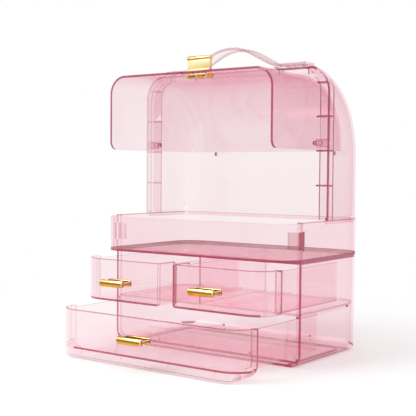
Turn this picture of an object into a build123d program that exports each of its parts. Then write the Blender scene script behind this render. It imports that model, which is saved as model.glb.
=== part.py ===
"""Carry-along make-up case: a three-drawer cabinet, a tray, a hood and a flip-over cover.

Millimetres. +Z is up, +Y runs to the back and +X to the right of someone who faces the
drawers. The origin is on the table under the middle of the case, drawers as photographed.
Depths count from the corner line, where the round front corners meet the flat sides.
"""
import os
from math import sqrt

from build123d import *

os.makedirs("parts", exist_ok=True)

# ---------------------------------------------------------------- driving dimensions
body_width = 245.0         # over the tray
body_front = 27.5          # corner line to the front, also the plan radius of the corners
body_back = 137.5          # corner line to the back
wall = 2.5                 # moulded wall
cabinet_top = 107.6
tray_rim = 146.7
hood_top = 310.5
handle_top = 336.0

cabinet_half = 121.5       # cabinet half width
cabinet_back = 136.5
bottom_round = 14.5        # long lower edges of the cabinet
lip_half = 116.0           # half width of the opening between the return lips
floor_low, floor_top = 4.5, 7.0
shelf_low, shelf_top = 52.5, 55.0
deck_low = 104.6
divider_x = -3.0

hood_half = 122.0          # hood half width
hood_front = 54.0
hood_back = 135.9
hood_radius = 95.0         # side profile of the hood
hood_corner = 28.0         # rounding of its long edges
frame_half = 106.0         # inner edge of the hood's flange and face of its pivot bosses
flange_depth = 61.4        # front face of the flange, behind the hood's open edge

strap, strap_width = 3.3, 22.0      # carry handle
strap_depth = 61.0
seat_height = 310.2
rivet_x = 87.0

pivot_depth, pivot_height, pivot_radius = 56.0, 227.5, 2.5
flange_top = 301.2
cover_half = 105.3
cover_radius = 72.0        # back of the cover, about the pivots
cover_rim = 31.0           # rim ahead of the corner line while the cover is up
cover_low = 220.6
cover_slope = 0.0227       # the cover's roof falls to the back by this much per millimetre
cover_corner = 20.0

bottom_pull, left_pull, right_pull = 75.5, 36.0, 33.0      # drawers as photographed
fascia_half = 119.6
box_half = 115.0
box_back = 126.0           # rear of the drawers when shut
fascia_wall, box_wall = 2.5, 2.2
fascia_seat = 0.5          # gap between a shut drawer front and the lip

grip_length = 31.0
grip_reach = 17.0          # how far a gold grip stands out
screw_radius = 1.3

# ---------------------------------------------------------------- derived places
front_reach = body_front - 0.2 + bottom_pull + grip_reach
corner_line = (front_reach - body_back) / 2
hood_centre_depth = hood_back - hood_radius
hood_centre_height = hood_top - hood_radius
normal_up = 1 / sqrt(1 + cover_slope ** 2)
normal_back = cover_slope * normal_up


def level(height, pull=0.0):
    """Horizontal sketch plane: x to the right, y is depth behind the corner line."""
    return Plane(origin=(0, corner_line - pull, height))


def facing(distance, pull=0.0):
    """Upright sketch plane seen from the front: x to the right, y up."""
    origin = (0, corner_line - pull + distance, 0)
    return Plane(origin=origin, x_dir=(1, 0, 0), z_dir=(0, -1, 0))


def sideways(x, pull=0.0):
    """Upright sketch plane seen from the right: x is depth, y is up."""
    return Plane(origin=(x, corner_line - pull, 0), x_dir=(0, 1, 0), z_dir=(1, 0, 0))


def slab(x0, x1, d0, d1, z0, z1, pull=0.0):
    """Plain block between two widths, two depths and two heights."""
    with BuildPart() as block:
        with BuildSketch(level(z0, pull)):
            with Locations(((x0 + x1) / 2, (d0 + d1) / 2)):
                Rectangle(x1 - x0, d1 - d0)
        extrude(amount=z1 - z0)
    return block.part


def tub(x0, x1, d0, d1, z0, z1, low=(0, 0), front=(0, 0), rear=(0, 0), pull=0.0):
    """Upright block with rounded long lower edges and rounded plan corners (left, right)."""
    with BuildPart() as block:
        with BuildSketch(facing(d0, pull)) as outline:
            with Locations(((x0 + x1) / 2, (z0 + z1) / 2)):
                Rectangle(x1 - x0, z1 - z0)
            for radius, corner in zip(low, (0, -1)):
                if radius:
                    fillet(outline.vertices().group_by(Axis.Y)[0].sort_by(Axis.X)[corner], radius)
        extrude(amount=d0 - d1)
        if any(front) or any(rear):
            ahead = d0 if any(front) else d0 - 40
            behind = d1 if any(rear) else d1 + 40
            with BuildSketch(level(z0 - 1, pull)) as outline:
                with Locations(((x0 + x1) / 2, (ahead + behind) / 2)):
                    Rectangle(x1 - x0, behind - ahead)
                for radii, row in ((front, 0), (rear, -1)):
                    for radius, corner in zip(radii, (0, -1)):
                        if radius:
                            ends = outline.vertices().group_by(Axis.Y)[row].sort_by(Axis.X)
                            fillet(ends[corner], radius)
            extrude(amount=z1 - z0 + 2, mode=Mode.INTERSECT)
    return block.part


# ---------------------------------------------------------------- cabinet
def cabinet_form(inset, front, top):
    """Body of the cabinet, drawn in by the inset, with round lower edges at sides and back."""
    half, low, back = cabinet_half - inset, inset, cabinet_back - inset
    with BuildPart() as body:
        add(tub(-half, half, front, back, low, top, low=(bottom_round - inset,) * 2,
                rear=(26.5 - inset,) * 2))
        with BuildSketch(sideways(-150)) as side:
            with Locations(((back - 10) / 2, (low + top + 10) / 2)):
                Rectangle(back + 10, top + 10 - low)
            fillet(side.vertices().group_by(Axis.Y)[0].sort_by(Axis.X)[-1], bottom_round - inset)
        extrude(amount=300, mode=Mode.INTERSECT)
    return body.part


# Moulded box, open to the front, with return lips, a raised floor, rails for the shelf and
# two low runners for the bottom drawer. It stands on the rim of its underside.
with BuildPart() as cabinet:
    add(cabinet_form(0, 0, cabinet_top))
    inside = cabinet_half - wall
    add(cabinet_form(wall, wall, deck_low), mode=Mode.SUBTRACT)
    with BuildPart(mode=Mode.PRIVATE) as floor:
        add(slab(-130, 130, 0.5, 140, floor_low, floor_top))
        add(cabinet_form(0.5, 0, cabinet_top), mode=Mode.INTERSECT)
    add(floor.part)
    add(tub(-lip_half, lip_half, -1, wall + 1, floor_top, deck_low, low=(9, 9)),
        mode=Mode.SUBTRACT)
    add(tub(-104, 104, wall, 119, -1, wall + 0.5, rear=(9, 9)), mode=Mode.SUBTRACT)
    for mirror_x in (-1, 1):
        rail = sorted((mirror_x * lip_half, mirror_x * (inside + 0.5)))
        add(slab(*rail, wall - 0.5, 108, shelf_low - 2.5, shelf_low))
        add(slab(mirror_x * 60 - 1.5, mirror_x * 60 + 1.5, wall, 130, floor_top - 0.5, 9.6))
cabinet.part.label = "cabinet"
export_step(cabinet.part, "parts/cabinet.step")

# The shelf over the bottom drawer slips in between the lips and lies on the rails.
with BuildPart() as shelf:
    add(tub(-inside, inside, wall, cabinet_back - wall, shelf_low, shelf_top, rear=(24, 24)))
    add(slab(-lip_half, lip_half, 0, wall, shelf_low, shelf_top))
    for x in (-92, -34, 34, 92):
        add(slab(x - 1, x + 1, wall, 128, shelf_top - 0.5, 57.1))
shelf.part.label = "shelf_panel"
export_step(shelf.part, "parts/shelf_panel.step")

# The divider stands between the two small drawers.
with BuildPart() as divider:
    add(slab(divider_x - wall / 2, divider_x + wall / 2, 0, cabinet_back - wall, shelf_top, deck_low))
divider.part.label = "divider_panel"
export_step(divider.part, "parts/divider_panel.step")

# ---------------------------------------------------------------- tray
# Floor over the whole plan with side and back walls, a bead round the rim, and a window
# on each side for the clip that holds the loose front panel.
tray_half = body_width / 2 - 0.5
tray_wall = 2.3
tray_floor = cabinet_top + 2.4
tray_in = tray_half - tray_wall
clip_low, clip_high = 119.3, 136.5
window_low, window_high = 118.3, 137.8

with BuildPart() as tray:
    add(tub(-body_width / 2, body_width / 2, -body_front, body_back, cabinet_top, tray_floor,
            front=(27.5, 27.5), rear=(27.5, 27.5)))
    add(tub(-tray_half, tray_half, 0, body_back - 0.5, tray_floor - 0.5, tray_rim, rear=(27, 27)))
    add(tub(-body_width / 2, body_width / 2, 0, body_back, tray_rim - 3, tray_rim,
            rear=(27.5, 27.5)))
    add(tub(-tray_in, tray_in, -1, body_back - 0.5 - tray_wall, tray_floor, tray_rim + 1,
            rear=(24.7, 24.7)), mode=Mode.SUBTRACT)
    for mirror_x in (-1, 1):
        flange = sorted((mirror_x * lip_half, mirror_x * (tray_in + 0.5)))
        add(slab(*flange, 0, tray_wall, tray_floor - 0.5, tray_rim))
        span = sorted((mirror_x * tray_in, mirror_x * 130))
        add(slab(*span, -1, 4.6, window_low, window_high), mode=Mode.SUBTRACT)
tray.part.label = "tray"
export_step(tray.part, "parts/tray.step")

# The front panel of the tray is a shallow U with the round corners.
panel_rim = tray_rim - 1.0
with BuildPart() as front_panel:
    add(tub(-tray_half, tray_half, 0.5 - body_front, -0.2, tray_floor, panel_rim, front=(27, 27)))
    add(tub(-body_width / 2, body_width / 2, -body_front, -0.2, panel_rim - 2.5, panel_rim,
            front=(27.5, 27.5)))
    add(tub(-tray_in, tray_in, 0.5 - body_front + tray_wall, 1, tray_floor - 1, panel_rim + 1,
            front=(24.7, 24.7)), mode=Mode.SUBTRACT)
    for mirror_x in (-1, 1):
        span = sorted((mirror_x * (tray_in - 1), mirror_x * 130))
        add(slab(*span, -3.6, 1, window_low, window_high), mode=Mode.SUBTRACT)
front_panel.part.label = "tray_front_panel"
export_step(front_panel.part, "parts/tray_front_panel.step")

# A clip on each side bridges the joint: block inside, hook bar in the window.
with BuildPart() as clip_right:
    add(slab(107.2, tray_in, -3.4, -0.1, clip_low, clip_high))
    add(front_panel.part, mode=Mode.SUBTRACT)
    add(slab(tray_in, tray_half + 0.2, -3.2, 4.2, clip_low, clip_high + 0.7))
    add(slab(tray_in - 1, tray_in + 0.5, -3.2, -0.1, clip_low, clip_high))
clip_right.part.label = "panel_clip_right"
export_step(clip_right.part, "parts/panel_clip_right.step")

with BuildPart() as clip_left:
    add(mirror(clip_right.part, about=Plane.YZ))
clip_left.part.label = "panel_clip_left"
export_step(clip_left.part, "parts/panel_clip_left.step")


# ---------------------------------------------------------------- hood
def hood_body(half, radius, back, low, front, corner):
    """Upright back that bends over into a round roof, long edges rounded."""
    top_front = hood_centre_height + sqrt(radius ** 2 - (front - hood_centre_depth) ** 2)
    mid = (hood_centre_depth + radius * 0.70710678, hood_centre_height + radius * 0.70710678)
    with BuildPart() as body:
        with BuildSketch(sideways(-half)):
            with BuildLine():
                Polyline((front, top_front), (front, low), (back, low), (back, hood_centre_height))
                ThreePointArc((back, hood_centre_height), mid, (front, top_front))
            make_face()
        extrude(amount=2 * half)
        rear = body.edges().filter_by(Axis.Z).group_by(Axis.Y)[-1]
        fillet(rear + body.edges().filter_by(GeomType.CIRCLE), corner)
    return body.part


with BuildPart() as hood:
    add(hood_body(hood_half, hood_radius, hood_back, tray_rim, hood_front, hood_corner))
    # seats for the handle, filled down to the roof
    for mirror_x in (-1, 1):
        seat = sorted((mirror_x * 54, mirror_x * 94))
        with BuildPart(mode=Mode.PRIVATE) as boss:
            add(slab(*seat, hood_front, 74, 295, seat_height))
        add(boss.part)
    add(hood_body(hood_half - wall, hood_radius - wall, hood_back - wall, tray_rim - 5,
                  hood_front - 5, hood_corner - wall), mode=Mode.SUBTRACT)
    # tongue that drops inside the tray rim
    add(tub(-119.4, 119.4, 56, 134.4, tray_rim - 4, tray_rim + 3, rear=(24.4, 24.4)))
    add(tub(-120.5, 120.5, 56, 135, tray_rim, tray_rim + 3, rear=(25, 25)))
    add(tub(-117, 117, 50, 132, tray_rim - 5, tray_rim + 4, rear=(22, 22)), mode=Mode.SUBTRACT)
    # flange behind the open edge, with four webs and a pivot boss on each side of it
    with BuildPart(mode=Mode.PRIVATE) as frame:
        with BuildSketch(facing(flange_depth)) as flange:
            with Locations((0, tray_rim + 83)):
                Rectangle(250, 166)
            with BuildSketch(mode=Mode.PRIVATE) as opening:
                with Locations((0, 190)):
                    Rectangle(2 * frame_half + 1, 2 * (flange_top - 190))
                fillet(opening.vertices(), 18)
            add(opening.sketch, mode=Mode.SUBTRACT)
            with Locations((0, 130)):
                Rectangle(2 * frame_half + 1, 80, mode=Mode.SUBTRACT)
        extrude(amount=-2.3)
        for mirror_x in (-1, 1):
            web = sorted((mirror_x * frame_half, mirror_x * hood_half))
            for height in (183, 219.5, 255.5, 291):
                add(slab(*web, 55.2, flange_depth + 1, height - 0.9, height + 0.9))
            with BuildSketch(sideways(mirror_x * frame_half)):
                with Locations((pivot_depth, pivot_height)):
                    Circle(4.7)
                with Locations(((pivot_depth + flange_depth + 1) / 2, pivot_height)):
                    Rectangle(flange_depth + 1 - pivot_depth, 5)
            extrude(amount=mirror_x * (hood_half - frame_half))
            # small stop on the back wall under the raised cover
            stop = (-73.2, -69.8) if mirror_x < 0 else (88.3, 91.7)
            add(slab(*stop, 126, 134, 216, 220.2))
        add(hood_body(hood_half - 0.5, hood_radius - 0.5, hood_back - 0.5, tray_rim - 5,
                      hood_front, hood_corner - 0.5), mode=Mode.INTERSECT)
    add(frame.part)
    # the seats are hollow from below
    for mirror_x in (-1, 1):
        pocket = sorted((mirror_x * 56.2, mirror_x * 91.8))
        add(slab(*pocket, hood_front + 2.2, 71.8, 295, seat_height - 2.2), mode=Mode.SUBTRACT)
    # bores for the pivot pins and the handle rivets
    for mirror_x in (-1, 1):
        with BuildSketch(sideways(mirror_x * (frame_half - 1))):
            with Locations((pivot_depth, pivot_height)):
                Circle(pivot_radius)
        extrude(amount=mirror_x * 7, mode=Mode.SUBTRACT)
        with BuildSketch(level(300)):
            with Locations((mirror_x * rivet_x, strap_depth)):
                Circle(1.6)
        extrude(amount=15, mode=Mode.SUBTRACT)
hood.part.label = "hood"
export_step(hood.part, "parts/hood.step")

# Carry handle: flat strap bowed up in the middle, with a tab on each seat of the hood.
slope = 0.523
bend_x = 54.6
crown_bend = 58.0
with BuildPart() as handle:
    tab = seat_height + strap / 2
    with BuildLine(facing(strap_depth)) as path:
        Polyline((-93, tab), (-bend_x, tab), (0, tab + slope * bend_x), (bend_x, tab), (93, tab))
        corners = path.vertices().sort_by(Axis.X)
        fillet([corners[1], corners[3]], 22)
        fillet([v for v in path.vertices() if abs(v.X) < 0.5], crown_bend)
    with BuildSketch(Plane(origin=path.line @ 0, x_dir=(0, 1, 0), z_dir=(1, 0, 0))):
        Rectangle(strap_width, strap)
    sweep(path=path.line)
    for mirror_x in (-1, 1):
        end = sorted((mirror_x * 60, mirror_x * 100))
        add(slab(*end, 40, hood_front + 0.2, 300, 320), mode=Mode.SUBTRACT)
    with BuildSketch(level(seat_height - 1)):
        with Locations((-rivet_x, strap_depth), (rivet_x, strap_depth)):
            Circle(1.6)
    extrude(amount=8, mode=Mode.SUBTRACT)
handle.part.label = "carry_handle"
export_step(handle.part, "parts/carry_handle.step")

# Rivets: low head on the tab, shank through the top of the seat, flat head below it.
with BuildPart() as rivets:
    seat_under = seat_height - 2.2
    for x in (-rivet_x, rivet_x):
        with BuildSketch(level(seat_under - 1)):
            with Locations((x, strap_depth)):
                Circle(1.6)
        extrude(amount=seat_height + strap - seat_under + 1)
        with BuildSketch(level(seat_height + strap)):
            with Locations((x, strap_depth)):
                Circle(4)
        extrude(amount=1.2)
        with BuildSketch(level(seat_under - 1.8)):
            with Locations((x, strap_depth)):
                Circle(4)
        extrude(amount=1.8)
    chamfer(rivets.faces().sort_by(Axis.Z)[-2:].edges(), 0.6)
rivets.part.label = "handle_rivets"
export_step(rivets.part, "parts/handle_rivets.step")


# ---------------------------------------------------------------- cover
def cover_body(half, inset, rim, low, corner):
    """Roof that runs back into a round rear about the pivots, long edges rounded."""
    radius = cover_radius - inset
    bend = (pivot_depth + radius * normal_back, pivot_height + radius * normal_up)
    mid = (pivot_depth + radius * 0.70710678, pivot_height + radius * 0.70710678)
    rear = (pivot_depth + radius, pivot_height)
    with BuildPart() as body:
        with BuildSketch(sideways(-half)):
            with BuildLine():
                Polyline(rear, (rear[0], low), (-rim, low),
                         (-rim, bend[1] + cover_slope * (bend[0] + rim)), bend)
                ThreePointArc(bend, mid, rear)
            make_face()
        extrude(amount=2 * half)
        back_edges = body.edges().filter_by(Axis.Z).group_by(Axis.Y)[-1]
        arcs = body.edges().filter_by(GeomType.CIRCLE)
        roof = body.edges().filter_by(GeomType.LINE).filter_by(
            lambda e: abs((e @ 0).Z - (e @ 1).Z) > 0.5 and abs((e @ 0).Y - (e @ 1).Y) > 20)
        fillet(back_edges + arcs + roof, corner)
    return body.part


with BuildPart() as cover:
    add(cover_body(cover_half, 0, cover_rim, cover_low, cover_corner))
    add(cover_body(cover_half - wall, wall, cover_rim + 9, cover_low - 9, cover_corner - wall),
        mode=Mode.SUBTRACT)
    corners = cover.edges().filter_by(Axis.X).group_by(Axis.Z)[0].group_by(Axis.Y)[0]
    fillet(corners, 9)
    # notch in the rim, then the bores for pins and clasp screws
    add(slab(-7.5, 20.8, -cover_rim - 1, 2.5 - cover_rim, 290, 310), mode=Mode.SUBTRACT)
    with BuildSketch(sideways(-120)):
        with Locations((pivot_depth, pivot_height)):
            Circle(pivot_radius + 0.05)
    extrude(amount=240, mode=Mode.SUBTRACT)
    roof_spot = pivot_height + cover_radius * normal_up + cover_slope * (
        pivot_depth + cover_radius * normal_back + 17)
    roof_plane = Plane(origin=(6.5, corner_line - 17, roof_spot), x_dir=(1, 0, 0),
                       z_dir=(0, normal_back, normal_up))
    with BuildSketch(roof_plane.offset(-6)):
        with Locations((-8, 0), (8, 0)):
            Circle(screw_radius)
    extrude(amount=12, mode=Mode.SUBTRACT)
cover.part.label = "cover"
export_step(cover.part, "parts/cover.step")

# Pivot pins: shank in the boss of the hood, with a blunt end that carries the cover's wall.
with BuildPart() as pin_right:
    with BuildSketch(sideways(frame_half + 6)):
        with Locations((pivot_depth, pivot_height)):
            Circle(pivot_radius)
    extrude(amount=-(frame_half + 6 - 102.0))
    chamfer(pin_right.faces().sort_by(Axis.X)[0].edges(), 0.6)
pin_right.part.label = "pivot_pin_right"
export_step(pin_right.part, "parts/pivot_pin_right.step")

with BuildPart() as pin_left:
    add(mirror(pin_right.part, about=Plane.YZ))
pin_left.part.label = "pivot_pin_left"
export_step(pin_left.part, "parts/pivot_pin_left.step")


# ---------------------------------------------------------------- gold grips
def grip(base, length):
    """Extruded grip on a base plane whose x runs along the grip and whose z points out."""
    across = Plane(origin=base.origin - base.x_dir * (length / 2), x_dir=base.z_dir,
                   z_dir=base.x_dir)
    with BuildPart() as bar:
        with BuildSketch(across):
            with Locations((1.5, 0)):
                RectangleRounded(3, 6.5, 0.6)
            with Locations((8, 0)):
                Rectangle(13, 3.6)
            with Locations((grip_reach - 2.4, 0)):
                RectangleRounded(4.8, 7.5, 2.2)
        extrude(amount=length)
        with BuildSketch(base):
            with Locations((-8, 0), (8, 0)):
                Circle(screw_radius)
        extrude(amount=8, mode=Mode.SUBTRACT)
    return bar.part


def screws(base, backing):
    """Pair of pan-head screws driven from behind through the backing into a grip."""
    with BuildPart() as pair:
        with BuildSketch(base.offset(-backing)):
            with Locations((-8, 0), (8, 0)):
                Circle(screw_radius)
        extrude(amount=backing + 7)
        with BuildSketch(base.offset(-backing)):
            with Locations((-8, 0), (8, 0)):
                Circle(2.4)
        extrude(amount=-1.5)
    return pair.part


# The cover's clasp: a grip on the roof, a catch plate under it.
with BuildPart() as clasp:
    add(grip(roof_plane, 29))
clasp.part.label = "clasp_pull"
export_step(clasp.part, "parts/clasp_pull.step")

with BuildPart() as catch:
    with BuildSketch(roof_plane.offset(-wall)):
        Rectangle(29, 12)
    extrude(amount=-1.5)
    with BuildSketch(roof_plane.offset(-wall - 1.5)):
        with Locations((-12.7, 0), (0, 0), (12.7, 0)):
            Rectangle(3.6, 10)
    extrude(amount=-2)
    with BuildSketch(roof_plane.offset(-8)):
        with Locations((-8, 0), (8, 0)):
            Circle(screw_radius)
    extrude(amount=8, mode=Mode.SUBTRACT)
catch.part.label = "clasp_catch"
export_step(catch.part, "parts/clasp_catch.step")

with BuildPart() as clasp_screws:
    add(screws(roof_plane, wall + 1.5))
clasp_screws.part.label = "clasp_screws"
export_step(clasp_screws.part, "parts/clasp_screws.step")

# ---------------------------------------------------------------- bottom drawer
# Wide front that wraps round the corners and ends in a step back to the narrower box.
front_face = body_front - 0.2
bottom_top, bottom_floor = 51.0, 10.0
with BuildPart() as drawer_bottom:
    pulled = bottom_pull
    add(tub(-fascia_half, fascia_half, -front_face, -fascia_seat, 2.4, bottom_top,
            low=(15, 15), front=(27.3, 27.3), pull=pulled))
    with BuildPart(mode=Mode.PRIVATE) as apron:
        with BuildSketch(facing(fascia_wall - front_face, pulled)):
            Polygon((-114.4, bottom_floor), (-104.6, 4.9), (-104.6, 0), (104.6, 0), (104.6, 4.9),
                    (114.4, bottom_floor), align=None)
        extrude(amount=-26)
        add(tub(-117, 117, fascia_wall - front_face, 1, -1, bottom_floor + 1, front=(24.8, 24.8),
                pull=pulled), mode=Mode.INTERSECT)
    add(apron.part, mode=Mode.SUBTRACT)
    add(tub(-box_half, box_half, -fascia_seat - 3, box_back, bottom_floor, bottom_top - 2,
            low=(5, 5), rear=(6, 6), pull=pulled))
    add(tub(fascia_wall - fascia_half, fascia_half - fascia_wall, fascia_wall - front_face,
            -fascia_seat - fascia_wall, bottom_floor + box_wall, bottom_top + 1,
            low=(10, 10), front=(24.8, 24.8), pull=pulled), mode=Mode.SUBTRACT)
    add(tub(box_wall - box_half, box_half - box_wall, -8, box_back - box_wall,
            bottom_floor + box_wall, bottom_top + 1, low=(3, 3), rear=(3.8, 3.8),
            pull=pulled), mode=Mode.SUBTRACT)
    for x in (-85, -30, 30, 85):
        with BuildSketch(sideways(x - 0.75, pulled)):
            with Locations((0, 0)):
                Polygon((0.5 - front_face + 1.5, 4.5), (0.5 - front_face + 1.5, bottom_floor + 0.5),
                        (8 - front_face, bottom_floor + 0.5), align=None)
        extrude(amount=1.5)
    grip_base_bottom = Plane(origin=(-3.5, corner_line - pulled - front_face, 29.8),
                             x_dir=(1, 0, 0), z_dir=(0, -1, 0))
    with BuildSketch(grip_base_bottom.offset(2)):
        with Locations((-8, 0), (8, 0)):
            Circle(screw_radius)
    extrude(amount=-8, mode=Mode.SUBTRACT)
drawer_bottom.part.label = "drawer_bottom"
export_step(drawer_bottom.part, "parts/drawer_bottom.step")


# ---------------------------------------------------------------- small drawers
def small_drawer(outer_sign, inner_x, pulled, grip_x):
    """Small drawer between the outer wall and the divider, outer side given by its sign."""
    def across(outer, inner):
        return sorted((outer_sign * outer, inner))

    def pair(outer, inner):
        return (inner, outer) if outer_sign > 0 else (outer, inner)

    low, high = 57.5, 102.0
    inward = -outer_sign
    base = Plane(origin=(grip_x, corner_line - pulled - front_face, 78.5), x_dir=(1, 0, 0),
                 z_dir=(0, -1, 0))
    with BuildPart() as drawer:
        add(tub(*across(fascia_half, inner_x), -front_face, -fascia_seat, low, high,
                low=(4.5, 4.5), front=pair(27.3, 1.2), pull=pulled))
        add(tub(*across(box_half, inner_x), -fascia_seat - 3, box_back, low, high - 2,
                low=(4.5, 4.5), rear=pair(6, 4), pull=pulled))
        add(tub(*across(fascia_half - fascia_wall, inner_x - inward * box_wall),
                fascia_wall - front_face, -fascia_seat - fascia_wall, low + box_wall, high + 1,
                low=(2.3, 2.3), front=pair(24.8, 0), pull=pulled), mode=Mode.SUBTRACT)
        add(tub(*across(box_half - box_wall, inner_x - inward * box_wall), -8,
                box_back - box_wall, low + box_wall, high + 1, low=(2.3, 2.3),
                rear=pair(3.8, 1.8), pull=pulled), mode=Mode.SUBTRACT)
        with BuildSketch(base.offset(2)):
            with Locations((-8, 0), (8, 0)):
                Circle(screw_radius)
        extrude(amount=-8, mode=Mode.SUBTRACT)
    return drawer.part, base


left_part, grip_base_left = small_drawer(-1, -9.4, left_pull, -61.5)
with BuildPart() as drawer_left:
    add(left_part)
drawer_left.part.label = "drawer_left"
export_step(drawer_left.part, "parts/drawer_left.step")

right_part, grip_base_right = small_drawer(1, 5.4, right_pull, 52.0)
with BuildPart() as drawer_right:
    add(right_part)
drawer_right.part.label = "drawer_right"
export_step(drawer_right.part, "parts/drawer_right.step")

# ---------------------------------------------------------------- drawer grips and screws
with BuildPart() as pull_bottom:
    add(grip(grip_base_bottom, grip_length))
pull_bottom.part.label = "pull_bottom"
export_step(pull_bottom.part, "parts/pull_bottom.step")

with BuildPart() as pull_left:
    add(grip(grip_base_left, grip_length))
pull_left.part.label = "pull_left"
export_step(pull_left.part, "parts/pull_left.step")

with BuildPart() as pull_right:
    add(grip(grip_base_right, grip_length))
pull_right.part.label = "pull_right"
export_step(pull_right.part, "parts/pull_right.step")

with BuildPart() as screws_bottom:
    add(screws(grip_base_bottom, fascia_wall))
screws_bottom.part.label = "pull_screws_bottom"
export_step(screws_bottom.part, "parts/pull_screws_bottom.step")

with BuildPart() as screws_left:
    add(screws(grip_base_left, fascia_wall))
screws_left.part.label = "pull_screws_left"
export_step(screws_left.part, "parts/pull_screws_left.step")

with BuildPart() as screws_right:
    add(screws(grip_base_right, fascia_wall))
screws_right.part.label = "pull_screws_right"
export_step(screws_right.part, "parts/pull_screws_right.step")
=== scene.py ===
import bpy
import bmesh
from math import cos, radians, sin
from mathutils import Matrix, Vector
from mathutils.bvhtree import BVHTree


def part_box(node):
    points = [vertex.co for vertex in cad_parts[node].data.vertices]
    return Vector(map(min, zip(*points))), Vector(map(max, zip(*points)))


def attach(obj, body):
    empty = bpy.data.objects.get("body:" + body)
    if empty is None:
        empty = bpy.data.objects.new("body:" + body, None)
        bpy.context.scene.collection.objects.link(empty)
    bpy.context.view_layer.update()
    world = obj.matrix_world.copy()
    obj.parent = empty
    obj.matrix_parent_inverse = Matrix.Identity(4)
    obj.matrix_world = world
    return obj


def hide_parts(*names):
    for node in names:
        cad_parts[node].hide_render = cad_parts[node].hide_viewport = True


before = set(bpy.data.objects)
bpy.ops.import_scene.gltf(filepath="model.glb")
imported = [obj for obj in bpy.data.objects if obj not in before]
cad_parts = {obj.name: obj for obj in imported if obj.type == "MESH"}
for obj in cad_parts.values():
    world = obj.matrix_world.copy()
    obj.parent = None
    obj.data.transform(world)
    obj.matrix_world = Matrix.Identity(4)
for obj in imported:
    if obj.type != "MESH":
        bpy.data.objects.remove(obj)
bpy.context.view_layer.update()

# ---------------------------------------------------------------- table and studio
# A white table that keeps the case's soft shadow, in a white surround. One broad soft lamp
# stands at the front left and a weaker one at the right, and the camera looks from the
# front right, a little above the tray.


class Wire:
    """A node's output that can be written into sums, and that makes further nodes."""

    def __init__(self, tree, socket=None):
        self.tree, self.socket = tree, socket

    def make(self, kind, settings=None, values=None, out=0):
        """A new node with its settings and the values or links of its inputs."""
        node = self.tree.nodes.new(kind)
        for name, value in (settings or {}).items():
            if name == "stops":
                ramp = node.color_ramp
                while len(ramp.elements) < len(value):
                    ramp.elements.new(0.5)
                for element, (place, colour) in zip(ramp.elements, value):
                    element.position, element.color = place, colour
            else:
                setattr(node, name, value)
        for name, value in (values or {}).items():
            if isinstance(value, Wire):
                self.tree.links.new(value.socket, node.inputs[name])
            else:
                node.inputs[name].default_value = value
        return Wire(self.tree, node.outputs[out]) if node.outputs else node

    def other(self, name):
        """Another output of the same node."""
        return Wire(self.tree, self.socket.node.outputs[name])

    def maths(self, operation, a, b):
        return self.make("ShaderNodeMath", {"operation": operation}, {0: a, 1: b})

    def __add__(self, other):
        return self.maths("ADD", self, other)

    def __radd__(self, other):
        return self.maths("ADD", other, self)

    def __sub__(self, other):
        return self.maths("SUBTRACT", self, other)

    def __rsub__(self, other):
        return self.maths("SUBTRACT", other, self)

    def __mul__(self, other):
        return self.maths("MULTIPLY", self, other)

    def __rmul__(self, other):
        return self.maths("MULTIPLY", other, self)

    def __pow__(self, other):
        return self.maths("POWER", self, other)

    def blend(self, one, other):
        """The colour one where this wire is 0, the other where it is 1."""
        return self.make("ShaderNodeMix", {"data_type": "RGBA"}, {0: self, 6: one, 7: other},
                         out=2)


def blank(holder):
    """Empty a material's or world's nodes, and give the Wire that makes new ones."""
    holder.use_nodes = True
    holder.node_tree.nodes.clear()
    return Wire(holder.node_tree)


def start_material(name):
    material = bpy.data.materials.new(name)
    return material, blank(material)


def close_material(material, shader):
    shader.make("ShaderNodeOutputMaterial", None, {"Surface": shader})
    return material


def in_sight(pen):
    """1 for what is seen, also in a reflection or through a wall, and 0 for what lights."""
    camera = pen.make("ShaderNodeLightPath", out="Is Camera Ray")
    rays = camera + camera.other("Is Glossy Ray") + camera.other("Is Transmission Ray")
    return pen.maths("MINIMUM", rays, 1.0)


scene = bpy.context.scene
scene.view_settings.view_transform = "Standard"
scene.cycles.transparent_max_bounces = 96  # the case is many clear walls deep

white, black, table_colour = (1, 1, 1, 1), (0, 0, 0, 1), (0.875, 0.90, 0.895, 1)
shaded_reach, plain_reach = 0.17, 0.62  # the shadow's part of the table, and plain white
glow_by_case = 0.1
table_paint, pen = start_material("table_white")
place = pen.make("ShaderNodeTexCoord", out="Object")
reach = pen.make("ShaderNodeVectorMath", {"operation": "LENGTH"}, {0: place}, out="Value")
fade = pen.make("ShaderNodeMapRange", {"interpolation_type": "SMOOTHSTEP"},
                {"Value": reach, "From Min": shaded_reach, "From Max": plain_reach})
glow = in_sight(pen) * (fade * (1 - glow_by_case) + glow_by_case)
close_material(table_paint, pen.make("ShaderNodeBsdfPrincipled", None, {
    "Base Color": fade.blend(table_colour, black), "Roughness": 0.9, "Specular IOR Level": 0.0,
    "Emission Color": glow.blend(black, white), "Emission Strength": 1.0}))
table_half = 6
table_mesh = bpy.data.meshes.new("table_top")
table_mesh.from_pydata([(-table_half, -table_half, 0), (table_half, -table_half, 0),
                        (table_half, table_half, 0), (-table_half, table_half, 0)],
                       [], [(0, 1, 2, 3)])
table_mesh.materials.append(table_paint)
table_top = bpy.data.objects.new("table_top", table_mesh)
scene.collection.objects.link(table_top)

lighting_white = 0.75  # the surround lights the case a little less than it shows
surround = bpy.data.worlds.new("surround")
scene.world = surround
pen = blank(surround)
backdrop = pen.make("ShaderNodeBackground", None, {
    "Color": white, "Strength": in_sight(pen) * (1 - lighting_white) + lighting_white})
pen.make("ShaderNodeOutputWorld", None, {"Surface": backdrop})

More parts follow.
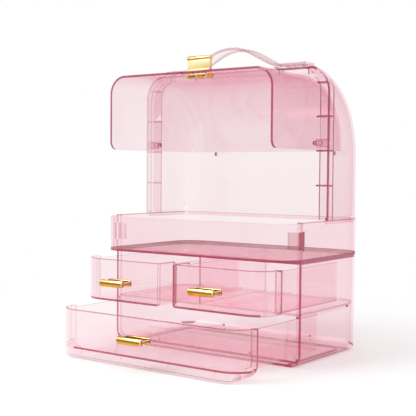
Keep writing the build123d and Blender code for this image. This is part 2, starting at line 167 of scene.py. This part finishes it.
lamp_aim = Vector((0, 0, 0.15))
for name, stand, width, power in (("soft_left", (-0.9, -1.3, 1.5), 1.2, 22.0),
                                  ("soft_right", (1.6, -0.5, 1.0), 0.6, 5.0)):
    lamp = bpy.data.lights.new(name, "AREA")
    lamp.shape, lamp.size, lamp.energy = "SQUARE", width, power
    holder = bpy.data.objects.new(name, lamp)
    holder.location = stand
    holder.rotation_mode = "QUATERNION"
    holder.rotation_quaternion = (lamp_aim - Vector(stand)).to_track_quat("-Z", "Y")
    scene.collection.objects.link(holder)

# The camera was fitted to the photograph, which is 416 pixels wide.
photo_width, focal_pixels, middle_pixel, sensor = 416, 922.5068, 170, 36
eye_place = Vector((0.57725, -0.81403, 0.19904))
yaw, pitch, roll = radians(37.6785), radians(-2.3994), radians(0.3717)
ahead = Vector((-sin(yaw) * cos(pitch), cos(yaw) * cos(pitch), sin(pitch)))
level_right = Vector((cos(yaw), sin(yaw), 0))
level_up = level_right.cross(ahead)
right = level_right * cos(roll) + level_up * sin(roll)
up = level_up * cos(roll) - level_right * sin(roll)
lens = bpy.data.cameras.new("camera")
lens.sensor_width = sensor
lens.lens = focal_pixels / photo_width * sensor
lens.shift_x = (photo_width / 2 - middle_pixel) / photo_width
lens.clip_start = 0.05
eye = bpy.data.objects.new("camera", lens)
turn = Matrix((right, up, -ahead)).transposed()
eye.matrix_world = Matrix.Translation(eye_place) @ turn.to_4x4()
scene.collection.objects.link(eye)
scene.camera = eye

# ---------------------------------------------------------------- cabinet
# One clear pink moulding with walls of 2.5 mm. The flats let nearly all light through; cut and
# moulded rims gather the colour along the wall and look crimson from the front.


def tone(red, green, blue):
    """A colour from its screen values of 0 to 255."""
    return tuple(c / 255 / 12.92 if c / 255 <= 0.04045 else ((c / 255 + 0.055) / 1.055) ** 2.4
                 for c in (red, green, blue)) + (1.0,)


def noise(pen, place, scale, detail=2.0, roughness=0.5):
    """Soft clouding from 0 to 1."""
    return pen.make("ShaderNodeTexNoise", None, {
        "Vector": place, "Scale": scale, "Detail": detail, "Roughness": roughness})


def clear_plastic(name, film, grey, ripple=0.18, tint=(0.79, 0.30, 0.41, 1)):
    """Clear pink plastic: a faint tint on the flats, crimson where light runs along a wall.

    film is the share of the tint seen straight through a wall, grey what the clear rest lets
    through, and ripple how much the film swells and thins over the surface.
    """
    slanting, grazing, along_wall = 2.2, 2.0, 0.45  # how much these add to the film
    rim_cover, gloss_straight, gloss_grazing = 0.85, 0.04, 0.3
    crimson, dark_crimson = tone(188, 34, 82), tone(158, 18, 56)
    material, pen = start_material(name)
    long_way = pen.make("ShaderNodeAttribute", {"attribute_name": "long_way"}, out="Fac")
    place = pen.make("ShaderNodeTexCoord", out="Object")
    cloud = noise(pen, place, 11.0)
    grain = noise(pen, place, 60.0, detail=3.0, roughness=0.6)
    slant = pen.make("ShaderNodeLayerWeight", None, {"Blend": 0.5}, out="Facing")
    bump = pen.make("ShaderNodeBump", None, {
        "Strength": 0.06, "Distance": 0.001, "Height": grain})
    depth = film * (1 + slant * slant * slanting + slant ** 16.0 * grazing)
    depth = depth * (1 - ripple + cloud * (2 * ripple)) + long_way * along_wall
    clear = pen.make("ShaderNodeBsdfTransparent", None, {"Color": (grey, grey, grey, 1)})
    tinted = pen.make("ShaderNodeBsdfTransparent", None, {"Color": tint})
    wall = pen.make("ShaderNodeMixShader", None, {0: depth, 1: clear, 2: tinted})
    rim = pen.make("ShaderNodeBsdfPrincipled", None, {
        "Base Color": cloud.blend(crimson, dark_crimson), "Roughness": 0.18 + cloud * 0.08,
        "IOR": 1.49, "Normal": bump})
    body = pen.make("ShaderNodeMixShader", None, {0: long_way * rim_cover, 1: wall, 2: rim})
    gloss = pen.make("ShaderNodeBsdfPrincipled", None, {
        "Base Color": white, "Metallic": 1.0, "Roughness": 0.05, "Normal": bump})
    return close_material(material, pen.make("ShaderNodeMixShader", None, {
        0: gloss_straight + slant ** 5.0 * gloss_grazing, 1: body, 2: gloss}))


def face_middles(bm):
    """The centre of each face's largest triangle, in the order of the faces."""
    bm.faces.index_update()
    largest = {}
    for corners in bm.calc_loop_triangles():
        a, b, c = (corner.vert.co for corner in corners)
        area = (b - a).cross(c - a).length
        index = corners[0].face.index
        if area > largest.get(index, (0.0,))[0]:
            largest[index] = (area, (a + b + c) / 3)
    return [largest[face.index][1] if face.index in largest else face.calc_center_median()
            for face in bm.faces]


def ease(value, start, end):
    """A smooth step from 0 at the start to 1 at the end."""
    share = min(max((value - start) / (end - start), 0.0), 1.0)
    return share * share * (3 - 2 * share)


def round_edges(bm, turn, offset, segments):
    """Round the edges that turn by more than an angle in degrees, and give the new faces."""
    sharp = [edge for edge in bm.edges
             if edge.is_manifold and edge.calc_face_angle() > radians(turn)]
    return bmesh.ops.bevel(bm, geom=sharp, offset=offset, segments=segments, affect="EDGES",
                           profile=0.5, clamp_overlap=True)["faces"]


def smooth_faces(bm, turn):
    """Smooth shading, broken at edges that turn by more than an angle in degrees."""
    for face in bm.faces:
        face.smooth = True
    for edge in bm.edges:
        edge.smooth = edge.is_manifold and edge.calc_face_angle() < radians(turn)


def part_at_planes(bm, cuts):
    """Part the faces at each wide flat's plane and at each cut, an axis and a place on it."""
    square, wide_area, most_faces = 0.99995, 1.2e-4, 20000
    planes = {}
    for face in bm.faces:
        for axis in range(3):
            if abs(face.normal[axis]) > square:
                key = (axis, round(face.calc_center_median()[axis], 4))
                planes[key] = planes.get(key, 0.0) + face.calc_area()
    wide = [key for key, area in sorted(planes.items()) if area > wide_area]
    for axis, at in wide + list(cuts):
        if len(bm.faces) < most_faces:
            normal = Vector([float(k == axis) for k in range(3)])
            bmesh.ops.bisect_plane(bm, geom=bm.verts[:] + bm.edges[:] + bm.faces[:],
                                   dist=weld, plane_co=normal * at, plane_no=normal)


def moulding(node, material, bevel=0.0004, rim=0.6, calm=(), cuts=()):
    """The CAD node's shape with eased edges, each face marked by the way through the wall.

    rim is the least mark of an eased edge. Each row of calm is a box, as its spans in x, y
    and z, with the least and the most that a face in it may be marked.
    """
    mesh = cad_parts[node].data.copy()
    mesh.materials.clear()
    mesh.materials.append(material)
    bm = bmesh.new()
    bm.from_mesh(mesh)
    bmesh.ops.remove_doubles(bm, verts=bm.verts, dist=weld)
    bm.normal_update()
    solid = BVHTree.FromBMesh(bm)
    bmesh.ops.dissolve_limit(bm, angle_limit=radians(0.4), verts=bm.verts, edges=bm.edges)
    part_at_planes(bm, cuts)
    bm.normal_update()
    way = bm.faces.layers.float.new("long_way")
    for face, middle in zip(bm.faces, face_middles(bm)):
        inward = -face.normal
        through = solid.ray_cast(middle + inward * below_skin, inward)[3] or 0.0
        face[way] = ease(through, *colour_gathers)
    if bevel:
        for face in round_edges(bm, 35, bevel, 2):
            face[way] = max(face[way], rim)
    for face, (x, y, z) in zip(bm.faces, face_middles(bm)):
        for (x0, x1), (y0, y1), (z0, z1), (least, most) in calm:
            if x0 < x < x1 and y0 < y < y1 and z0 < z < z1:
                face[way] = min(max(face[way], least), most)
    smooth_faces(bm, 25)
    bm.to_mesh(mesh)
    bm.free()
    piece = bpy.data.objects.new(node + "_moulding", mesh)
    scene.collection.objects.link(piece)
    return piece


def settle(piece, node, body):
    """The piece stands for its node and moves with its body."""
    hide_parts(node)
    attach(piece, body)


def fit_plastic(node, body, plastic, **marks):
    """Make and settle a clear pink moulding."""
    settle(moulding(node, plastic, **marks), node, body)


weld, below_skin = 2e-6, 2e-5
colour_gathers = (0.0045, 0.011)  # the way through a wall where crimson starts and is full
whole_width = (-0.13, 0.13)
rosy = (0.93, 0.30, 0.45, 1)
pink_cabinet = clear_plastic("pink_cabinet", film=0.075, grey=0.985, tint=rosy)
foot_rim = (whole_width, (-0.03, 0.13), (-0.001, 0.0012), (0.6, 1.0))
fit_plastic("cabinet", "case", pink_cabinet, calm=[foot_rim])

# ---------------------------------------------------------------- shelf and divider
# Two flat panels slipped into the cabinet, of the same plastic; their front edges show as
# thin crimson lines between the drawers.


def at_most(mark):
    """The row of calm that holds a whole piece under a mark."""
    return (-0.2, 0.2), (-0.2, 0.2), (0.0, 0.4), (0.0, mark)


pink_inner = clear_plastic("pink_inner", film=0.056, grey=1.0, tint=rosy)
for node, most in (("shelf_panel", 0.3), ("divider_panel", 0.6)):
    fit_plastic(node, "case", pink_inner, rim=0.3, calm=[at_most(most)])

# ---------------------------------------------------------------- tray and its front panel
# The tray closes the top of the cabinet. Its front panel is a separate shallow U, held at
# both ends by small clips that hook through the side walls.
pink_tray = clear_plastic("pink_tray", film=0.08, grey=0.985, tint=rosy)
left_wall, right_wall = (-0.13, -0.115), (0.115, 0.13)
panel_top, bead_height = 0.1457, (0.14575, 0.148)
joints = [(side, (-0.013, -0.006), (0.1101, 0.15), (0.0, 0.15))
          for side in (left_wall, right_wall)]
left_window = (left_wall, (-0.012, 0.006), (0.115, 0.1402), (0.0, 0.1))
front_rim = (whole_width, (-0.04, -0.008), bead_height, (0.7, 1.0))
side_rim = (whole_width, (-0.008, 0.115), bead_height, (0.35, 0.5))
back_rim = (whole_width, (0.115, 0.13), bead_height, (0.1, 0.2))
for node in ("tray", "tray_front_panel"):
    fit_plastic(node, "case", pink_tray, cuts=[(2, panel_top)],
                calm=joints + [left_window, front_rim, side_rim, back_rim])

pink_clip = clear_plastic("pink_clip", film=0.24, grey=0.95)
clip_depth, clip_height, outer_face = (-0.03, 0.01), (0.1, 0.15), 0.1198
clip_marks = [((-0.13, outer_face), clip_depth, clip_height, (0.0, 0.12)),
              ((outer_face, 0.13), clip_depth, clip_height, (0.9, 1.0))]
for node, plastic, rim in (("panel_clip_left", pink_tray, 0.1),
                           ("panel_clip_right", pink_clip, 0.4)):
    fit_plastic(node, "case", plastic, rim=rim, calm=clip_marks)

# ---------------------------------------------------------------- hood
# The tall moulding behind the cover, bent over into a round roof. A flange with four webs on
# each side stiffens its open edge, and two bosses hold the pivot pins.
pink_shell = clear_plastic("pink_shell", film=0.098, grey=0.982, ripple=0.5,
                           tint=(0.85, 0.28, 0.42, 1))
tongue = ((-0.2, 0.2), (-0.2, 0.2), (0.14, 0.1472), (0.0, 0.1))
far_flange = ((-0.13, -0.06), (0.04, 0.07), (0.147, 0.32), (0.0, 0.22))
boss = ((0.1, 0.1196), (0.03, 0.07), (0.2218, 0.2335), (0.0, 0.2))
seats = (whole_width, (-0.2, 0.2), (0.3104, 0.32), (0.0, 0.25))
fit_plastic("hood", "case", pink_shell, rim=0.45, calm=[tongue, far_flange, boss, seats])
for node in ("pivot_pin_left", "pivot_pin_right"):
    fit_plastic(node, "case", pink_shell, bevel=0, calm=[at_most(0.3)])

# ---------------------------------------------------------------- carry handle
# A flat strap of the same plastic, bowed up in the middle. Its tabs lie on two seats of the
# hood's roof and are held by low rivets.


def start_tree(name, sizes):
    """An empty Geometry Nodes tree with an input for each size, and a Wire from each input."""
    tree = bpy.data.node_groups.new(name, "GeometryNodeTree")
    tree.interface.new_socket("Geometry", in_out="OUTPUT", socket_type="NodeSocketGeometry")
    tree.interface.new_socket("Geometry", in_out="INPUT", socket_type="NodeSocketGeometry")
    for title in sizes:
        tree.interface.new_socket(title, in_out="INPUT", socket_type="NodeSocketFloat")
    tree.interface.new_socket("Material", in_out="INPUT", socket_type="NodeSocketMaterial")
    entry = Wire(tree).make("NodeGroupInput")
    return entry, {socket.name: Wire(tree, socket) for socket in entry.socket.node.outputs}


def rounded_section(pen, width, height, corner):
    """A rectangle with round corners, to be drawn along a line."""
    section = pen.make("GeometryNodeCurvePrimitiveQuadrilateral", None, {
        "Width": width, "Height": height})
    return pen.make("GeometryNodeFilletCurve", {"mode": "POLY"}, {
        "Curve": section, "Count": 4, "Radius": corner})


def drawn_out(pen, line, section):
    """A closed bar with one section all along a line."""
    return pen.make("GeometryNodeCurveToMesh", None, {
        "Curve": line, "Profile Curve": section, "Fill Caps": True})


def cylinder(pen, sides, radius, depth):
    return pen.make("GeometryNodeMeshCylinder", None, {
        "Vertices": sides, "Radius": radius, "Depth": depth})


def raised(pen, shape, height):
    lift = pen.make("ShaderNodeCombineXYZ", None, {"Z": height})
    return pen.make("GeometryNodeTransform", None, {"Geometry": shape, "Translation": lift})


def on_points(pen, size, *shapes):
    """The shapes together, once on each point of the seed."""
    whole = pen.make("GeometryNodeJoinGeometry")
    for shape in shapes:
        pen.tree.links.new(shape.socket, whole.socket.node.inputs[0])
    return pen.make("GeometryNodeInstanceOnPoints", None, {
        "Points": size["Geometry"], "Instance": whole})


def close_tree(pen, size, shape):
    real = pen.make("GeometryNodeRealizeInstances", None, {0: shape})
    done = pen.make("GeometryNodeSetMaterial", None, {
        "Geometry": real, "Material": size["Material"]})
    pen.make("NodeGroupOutput", None, {0: done})
    return pen.tree


def grown(name, points, edges, tree, sizes, material, marks=None, bevel=0.0, place=None):
    """A plain mesh grown by a tree from a few points, with its edges eased."""
    seed = bpy.data.meshes.new(name + "_seed")
    seed.from_pydata(points, edges, [])
    for title, values in (marks or {}).items():
        seed.attributes.new(title, "FLOAT", "POINT").data.foreach_set("value", values)
    piece = bpy.data.objects.new(name, seed)
    scene.collection.objects.link(piece)
    growth = piece.modifiers.new("growth", "NODES")
    growth.node_group = tree
    inputs = {**sizes, "Material": material}
    for socket in tree.interface.items_tree:
        if socket.in_out == "INPUT" and socket.name in inputs:
            growth[socket.identifier] = inputs[socket.name]
    view = piece.evaluated_get(bpy.context.evaluated_depsgraph_get())
    piece.data = bpy.data.meshes.new_from_object(view)
    piece.modifiers.clear()
    bm = bmesh.new()
    bm.from_mesh(piece.data)
    bmesh.ops.remove_doubles(bm, verts=bm.verts, dist=1e-6)
    bmesh.ops.recalc_face_normals(bm, faces=bm.faces)
    if bevel:
        round_edges(bm, 50, bevel, 3)
    smooth_faces(bm, 32)
    if place:
        bmesh.ops.transform(bm, matrix=place, verts=bm.verts)
    bm.to_mesh(piece.data)
    bm.free()
    return piece


pink_strap = clear_plastic("pink_strap", film=0.045, grey=0.99)
pen, size = start_tree("bowed_strap", ("Width", "Thickness", "Edge"))
line = pen.make("GeometryNodeMeshToCurve", None, {0: size["Geometry"]})
bend = pen.make("GeometryNodeInputNamedAttribute", {"data_type": "FLOAT"}, {"Name": "bend"})
line = pen.make("GeometryNodeFilletCurve", {"mode": "POLY"}, {
    "Curve": line, "Count": 18, "Radius": bend})
line = pen.make("GeometryNodeSetCurveNormal", {"mode": "Z_UP"}, {"Curve": line})
section = rounded_section(pen, size["Width"], size["Thickness"], size["Edge"])
strap_tree = close_tree(pen, size, drawn_out(pen, line, section))

low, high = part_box("carry_handle")
strap_half, strap_thick, strap_edge = 0.011, 0.0033, 0.0009
bend_x, slope, foot_bend, crown_bend = 0.0546, 0.523, 0.022, 0.058
middle_y, tab_z = high[1] - strap_half, low[2] + strap_thick / 2
crown_z = tab_z + slope * bend_x  # where the two slopes would meet
route = [(x, middle_y, z) for x, z in (
    (low[0], tab_z), (-bend_x, tab_z), (0, crown_z), (bend_x, tab_z), (high[0], tab_z))]
strap = grown("carry_strap", route, [(0, 1), (1, 2), (2, 3), (3, 4)], strap_tree,
              {"Width": 2 * strap_half, "Thickness": strap_thick, "Edge": strap_edge},
              pink_strap, {"bend": [0.0, foot_bend, crown_bend, foot_bend, 0.0]})
tab_start, tab_end, tab_cut = 0.044, 0.06, 0.0042  # the tabs are narrower in front
for vertex in strap.data.vertices:
    narrow = tab_cut * ease(abs(vertex.co.x), tab_start, tab_end)
    if vertex.co.y < middle_y:
        kept = (strap_half - narrow) / strap_half
        vertex.co.y = middle_y + (vertex.co.y - middle_y) * kept
edge_mark = 0.4  # its long edges look a little deeper in colour than its flats
edges = strap.data.attributes.new("long_way", "FLOAT", "FACE")
edges.data.foreach_set("value", [edge_mark * min(max(abs(face.normal.y) * 3 - 1, 0.0), 1.0)
                                 for face in strap.data.polygons])
settle(strap, "carry_handle", "case")

head_taper, foot_share = 0.82, 1.4  # of the head's radius and height
pen, size = start_tree("rivets", ("Head radius", "Head height", "Shank radius", "Grip"))
head = pen.make("GeometryNodeMeshCone", None, {
    "Vertices": 28, "Radius Top": size["Head radius"] * head_taper,
    "Radius Bottom": size["Head radius"], "Depth": size["Head height"]})
shank = cylinder(pen, 20, size["Shank radius"], size["Grip"])
foot = cylinder(pen, 28, size["Head radius"], size["Head height"] * foot_share)
shank = raised(pen, shank, size["Grip"] * -0.5)
foot = raised(pen, foot, size["Grip"] * -1.0 - size["Head height"] * (foot_share / 2 - 0.5))
rivet_tree = close_tree(pen, size, on_points(pen, size, head, shank, foot))

low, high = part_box("handle_rivets")
head_radius, head_height, shank_radius, rivet_x = 0.004, 0.0012, 0.0016, 0.087
rivet_y, rivet_z = (low[1] + high[1]) / 2, high[2] - head_height
rivets = grown("strap_rivets", [(-rivet_x, rivet_y, rivet_z), (rivet_x, rivet_y, rivet_z)],
               [], rivet_tree,
               {"Head radius": head_radius, "Head height": head_height,
                "Shank radius": shank_radius, "Grip": high[2] - low[2] - 2 * head_height},
               pink_strap)
settle(rivets, "handle_rivets", "case")

# ---------------------------------------------------------------- cover
# The flip-over cover: a roof, two cheeks and a round rear in one clear pink moulding. It hangs
# on the two pivot pins and nests in the hood while it is up; its rim is crimson all round.
fit_plastic("cover", "cover", pink_shell, rim=0.95)

# ---------------------------------------------------------------- drawers
# Three open boxes of the same plastic, which slide on the floor, the shelf and low runners.
# Each front wraps round the cabinet's outer corners and steps back to a narrower box.
drawer_height, wrap_depth, slack = (0.0, 0.11), 0.0268, 0.001
for node, inner_corner, corner_marks, corner_cuts in (
        ("drawer_bottom", None, None, []),
        ("drawer_left", (-0.0118, -0.009), (0.0, 0.3), []),
        ("drawer_right", (0.005, 0.0091), (0.95, 1.0), [(0, 0.009)])):
    low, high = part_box(node)
    front, rear, under, top = low[1], high[1], low[2], high[2]
    step = front + wrap_depth
    whole_depth = (front - slack, rear + slack)
    rim = (whole_width, whole_depth, (top - 0.00075, top + slack), (0.4, 1.0))
    far_wrap = ((-0.13, -0.1121), (front - slack, step + slack), drawer_height, (0.0, 0.12))
    floor = (whole_width, (front + 0.006, rear + slack), (under, under + 0.0035), (0.0, 0.2))
    rear_wall = (whole_width, (rear - 0.008, rear + slack), drawer_height, (0.0, 0.15))
    near_step = ((0.1095, 0.1168), (step - 0.004, step + 0.004), drawer_height, (0.0, 0.3))
    wrap_end = ((0.1168, 0.121), (step - 0.003, step + slack), drawer_height, (0.85, 1.0))
    calm = [rim, far_wrap, floor, rear_wall, near_step, wrap_end]
    if inner_corner:
        corner = (inner_corner, (front - slack, front + 0.003), (under, top), corner_marks)
        front_foot = (whole_width, (front - slack, front + 0.004),
                      (under - slack, under + 0.002), (0.8, 1.0))
        box_foot = ((0.1105, 0.12), (step, rear - 0.004),
                    (under - slack, under + 0.0025), (0.6, 1.0))
        calm += [corner, front_foot, box_foot]
    else:
        far_apron = ((-0.13, -0.0925), whole_depth, (0.0, 0.0155), (0.0, 0.15))
        calm.append(far_apron)
    fit_plastic(node, node, pink_inner, calm=calm, cuts=[(2, top - 0.0008)] + corner_cuts)

# ---------------------------------------------------------------- gold grips
# Extruded metal grips with a bright gold plating, one on the cover and one on each drawer. The
# cover's grip has a plated catch under the roof, with three small blocks. The gold's colour
# carries a painted reflection: a cream highlight where it faces up, brown shade where it faces
# down.


def gold_with_painted_reflection(name):
    """Polished gold with a painted reflection: a painted cream highlight where it faces the
    sky, painted brown shade where it faces the table.
    """
    material, pen = start_material(name)
    facing_up = pen.make("ShaderNodeAttribute", {"attribute_name": "facing_up"}, out="Fac")
    place = pen.make("ShaderNodeTexCoord", out="Object")
    squeeze = pen.make("ShaderNodeMapping", None, {"Vector": place, "Scale": (12, 900, 900)})
    lines = noise(pen, squeeze, 1.0)
    # The ramp is a painted reflection: painted brown shade low, gold in front, a painted dark
    # band, then a painted cream highlight near the top.
    colour = pen.make("ShaderNodeValToRGB", {"stops": (
        (0.04, tone(176, 112, 42)), (0.3, tone(250, 204, 112)), (0.5, tone(228, 166, 68)),
        (0.62, tone(200, 138, 46)), (0.7, tone(104, 66, 18)), (0.77, tone(238, 202, 112)),
        (0.84, tone(255, 244, 196)), (0.93, tone(250, 228, 152)), (0.99, tone(188, 134, 46)))},
        {"Fac": facing_up + lines * 0.04 - 0.02})
    bump = pen.make("ShaderNodeBump", None, {
        "Strength": 0.05, "Distance": 0.0005, "Height": lines})
    return close_material(material, pen.make("ShaderNodeBsdfPrincipled", None, {
        "Base Color": colour, "Metallic": 1.0, "Roughness": 0.08 + lines * 0.08,
        "Specular Tint": (0.8, 0.5, 0.2, 1), "Normal": bump}))


gold = gold_with_painted_reflection("gold_painted_reflection")
plate_corner, web_start = 0.0006, 0.001
pen, size = start_tree("extruded_grip", ("Length", "Reach", "Base height", "Base depth",
                                         "Web height", "Bar height", "Bar depth"))
along = pen.make("ShaderNodeCombineXYZ", None, {"X": size["Length"]})
rail = pen.make("GeometryNodeCurvePrimitiveLine", None, {"End": along})
rail = pen.make("GeometryNodeSetCurveNormal", {"mode": "Z_UP"}, {"Curve": rail})
plate = rounded_section(pen, size["Base height"], size["Base depth"], plate_corner)
web_depth = size["Reach"] - size["Bar depth"]
web = pen.make("GeometryNodeCurvePrimitiveQuadrilateral", None, {
    "Width": size["Web height"], "Height": web_depth})
oval = pen.make("ShaderNodeCombineXYZ", None, {
    "X": size["Bar height"] * 0.5, "Y": size["Bar depth"] * 0.5, "Z": 1.0})
tube = pen.make("GeometryNodeCurvePrimitiveCircle", None, {"Resolution": 32, "Radius": 1.0})
tube = pen.make("GeometryNodeTransform", None, {"Geometry": tube, "Scale": oval})
rods = [raised(pen, drawn_out(pen, rail, section), centre) for section, centre in (
    (plate, size["Base depth"] * 0.5), (web, web_depth * 0.5 + web_start),
    (tube, size["Reach"] - size["Bar depth"] * 0.5))]
grip_tree = close_tree(pen, size, on_points(pen, size, *rods))


def upright(node, lean):
    """The place of a grip: x along it, z out of the wall it is screwed to."""
    low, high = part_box(node)
    middle = (low + high) / 2
    if lean is None:
        out, foot = Vector((0, -1, 0)), Vector((middle.x, high[1], middle.z))
    else:
        out = Vector((0, sin(lean), cos(lean)))
        foot = Vector((middle.x, middle.y + off_axis * sin(lean), high[2])) - out * grip_reach
    side = out.cross(Vector((1, 0, 0)))
    return Matrix(((1, side.x, out.x, foot.x), (0, side.y, out.y, foot.y),
                   (0, side.z, out.z, foot.z), (0, 0, 0, 1)))


def mark_painted_reflection(piece, glance):
    """Mark each corner of a gold piece for its painted reflection, by how far its surface
    looks towards the sky.
    """
    sky = Vector(glance).normalized()
    marks = piece.data.attributes.new("facing_up", "FLOAT", "CORNER")
    marks.data.foreach_set("value", [0.5 + 0.5 * corner.vector.dot(sky)
                                     for corner in piece.data.corner_normals])
    return piece


grip_reach, roof_lean = 0.017, 0.0227
off_axis = 0.0024  # times the lean, from the middle of the leaning grip's box to its foot
# the directions that the gold's painted reflection is lit from, on the front grips and on the
# leaning roof grip
front_glance, roof_glance = (0.1, -0.35, 0.93), (-0.3, -0.62, 0.72)
grips = (("clasp_pull", "cover", roof_lean), ("pull_bottom", "drawer_bottom", None),
         ("pull_left", "drawer_left", None), ("pull_right", "drawer_right", None))
# Each gold grip, and the catch below, is marked for its painted reflection.
for node, body, lean in grips:
    low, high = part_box(node)
    length = high[0] - low[0]
    bar = grown(node + "_bar", [(-length / 2, 0, 0)], [], grip_tree, {
        "Length": length, "Reach": grip_reach, "Base height": 0.0065, "Base depth": 0.003,
        "Web height": 0.0036, "Bar height": 0.0075, "Bar depth": 0.0048},
        gold, bevel=0.0011, place=upright(node, lean))
    settle(mark_painted_reflection(bar, roof_glance if lean else front_glance), node, body)
catch = mark_painted_reflection(moulding("clasp_catch", gold, bevel=0.0003), roof_glance)
settle(catch, "clasp_catch", "cover")

# ---------------------------------------------------------------- grip screws
# Small pan-head steel screws, two to each grip, driven from the inside through the drawer's
# front, or through the catch and the cover's roof.
screw_steel, pen = start_material("screw_steel")
wear = noise(pen, pen.make("ShaderNodeTexCoord", out="Object"), 300.0)
close_material(screw_steel, pen.make("ShaderNodeBsdfPrincipled", None, {
    "Base Color": wear.blend((0.42, 0.36, 0.30, 1), (0.62, 0.56, 0.48, 1)), "Metallic": 1.0,
    "Roughness": 0.25 + wear * 0.2}))
pen, size = start_tree("pan_head_screws", ("Head radius", "Head height", "Thread radius",
                                           "Length"))
head = raised(pen, cylinder(pen, 24, size["Head radius"], size["Head height"]),
              size["Head height"] * -0.5)
thread = raised(pen, cylinder(pen, 16, size["Thread radius"], size["Length"]),
                size["Length"] * 0.5)
screw_tree = close_tree(pen, size, on_points(pen, size, head, thread))

screw_x, thread_in_grip = 0.008, 0.007
roof_and_catch, drawer_front = 0.004, 0.0025
pairs = (("clasp_screws", roof_and_catch), ("pull_screws_bottom", drawer_front),
         ("pull_screws_left", drawer_front), ("pull_screws_right", drawer_front))
for (grip, body, lean), (screws, wall) in zip(grips, pairs):
    pair = grown(screws + "_pair", [(-screw_x, 0, -wall), (screw_x, 0, -wall)], [],
                 screw_tree, {"Head radius": 0.0024, "Head height": 0.0015,
                              "Thread radius": 0.0013, "Length": wall + thread_in_grip},
                 screw_steel, bevel=0.0004, place=upright(grip, lean))
    settle(pair, screws, body)
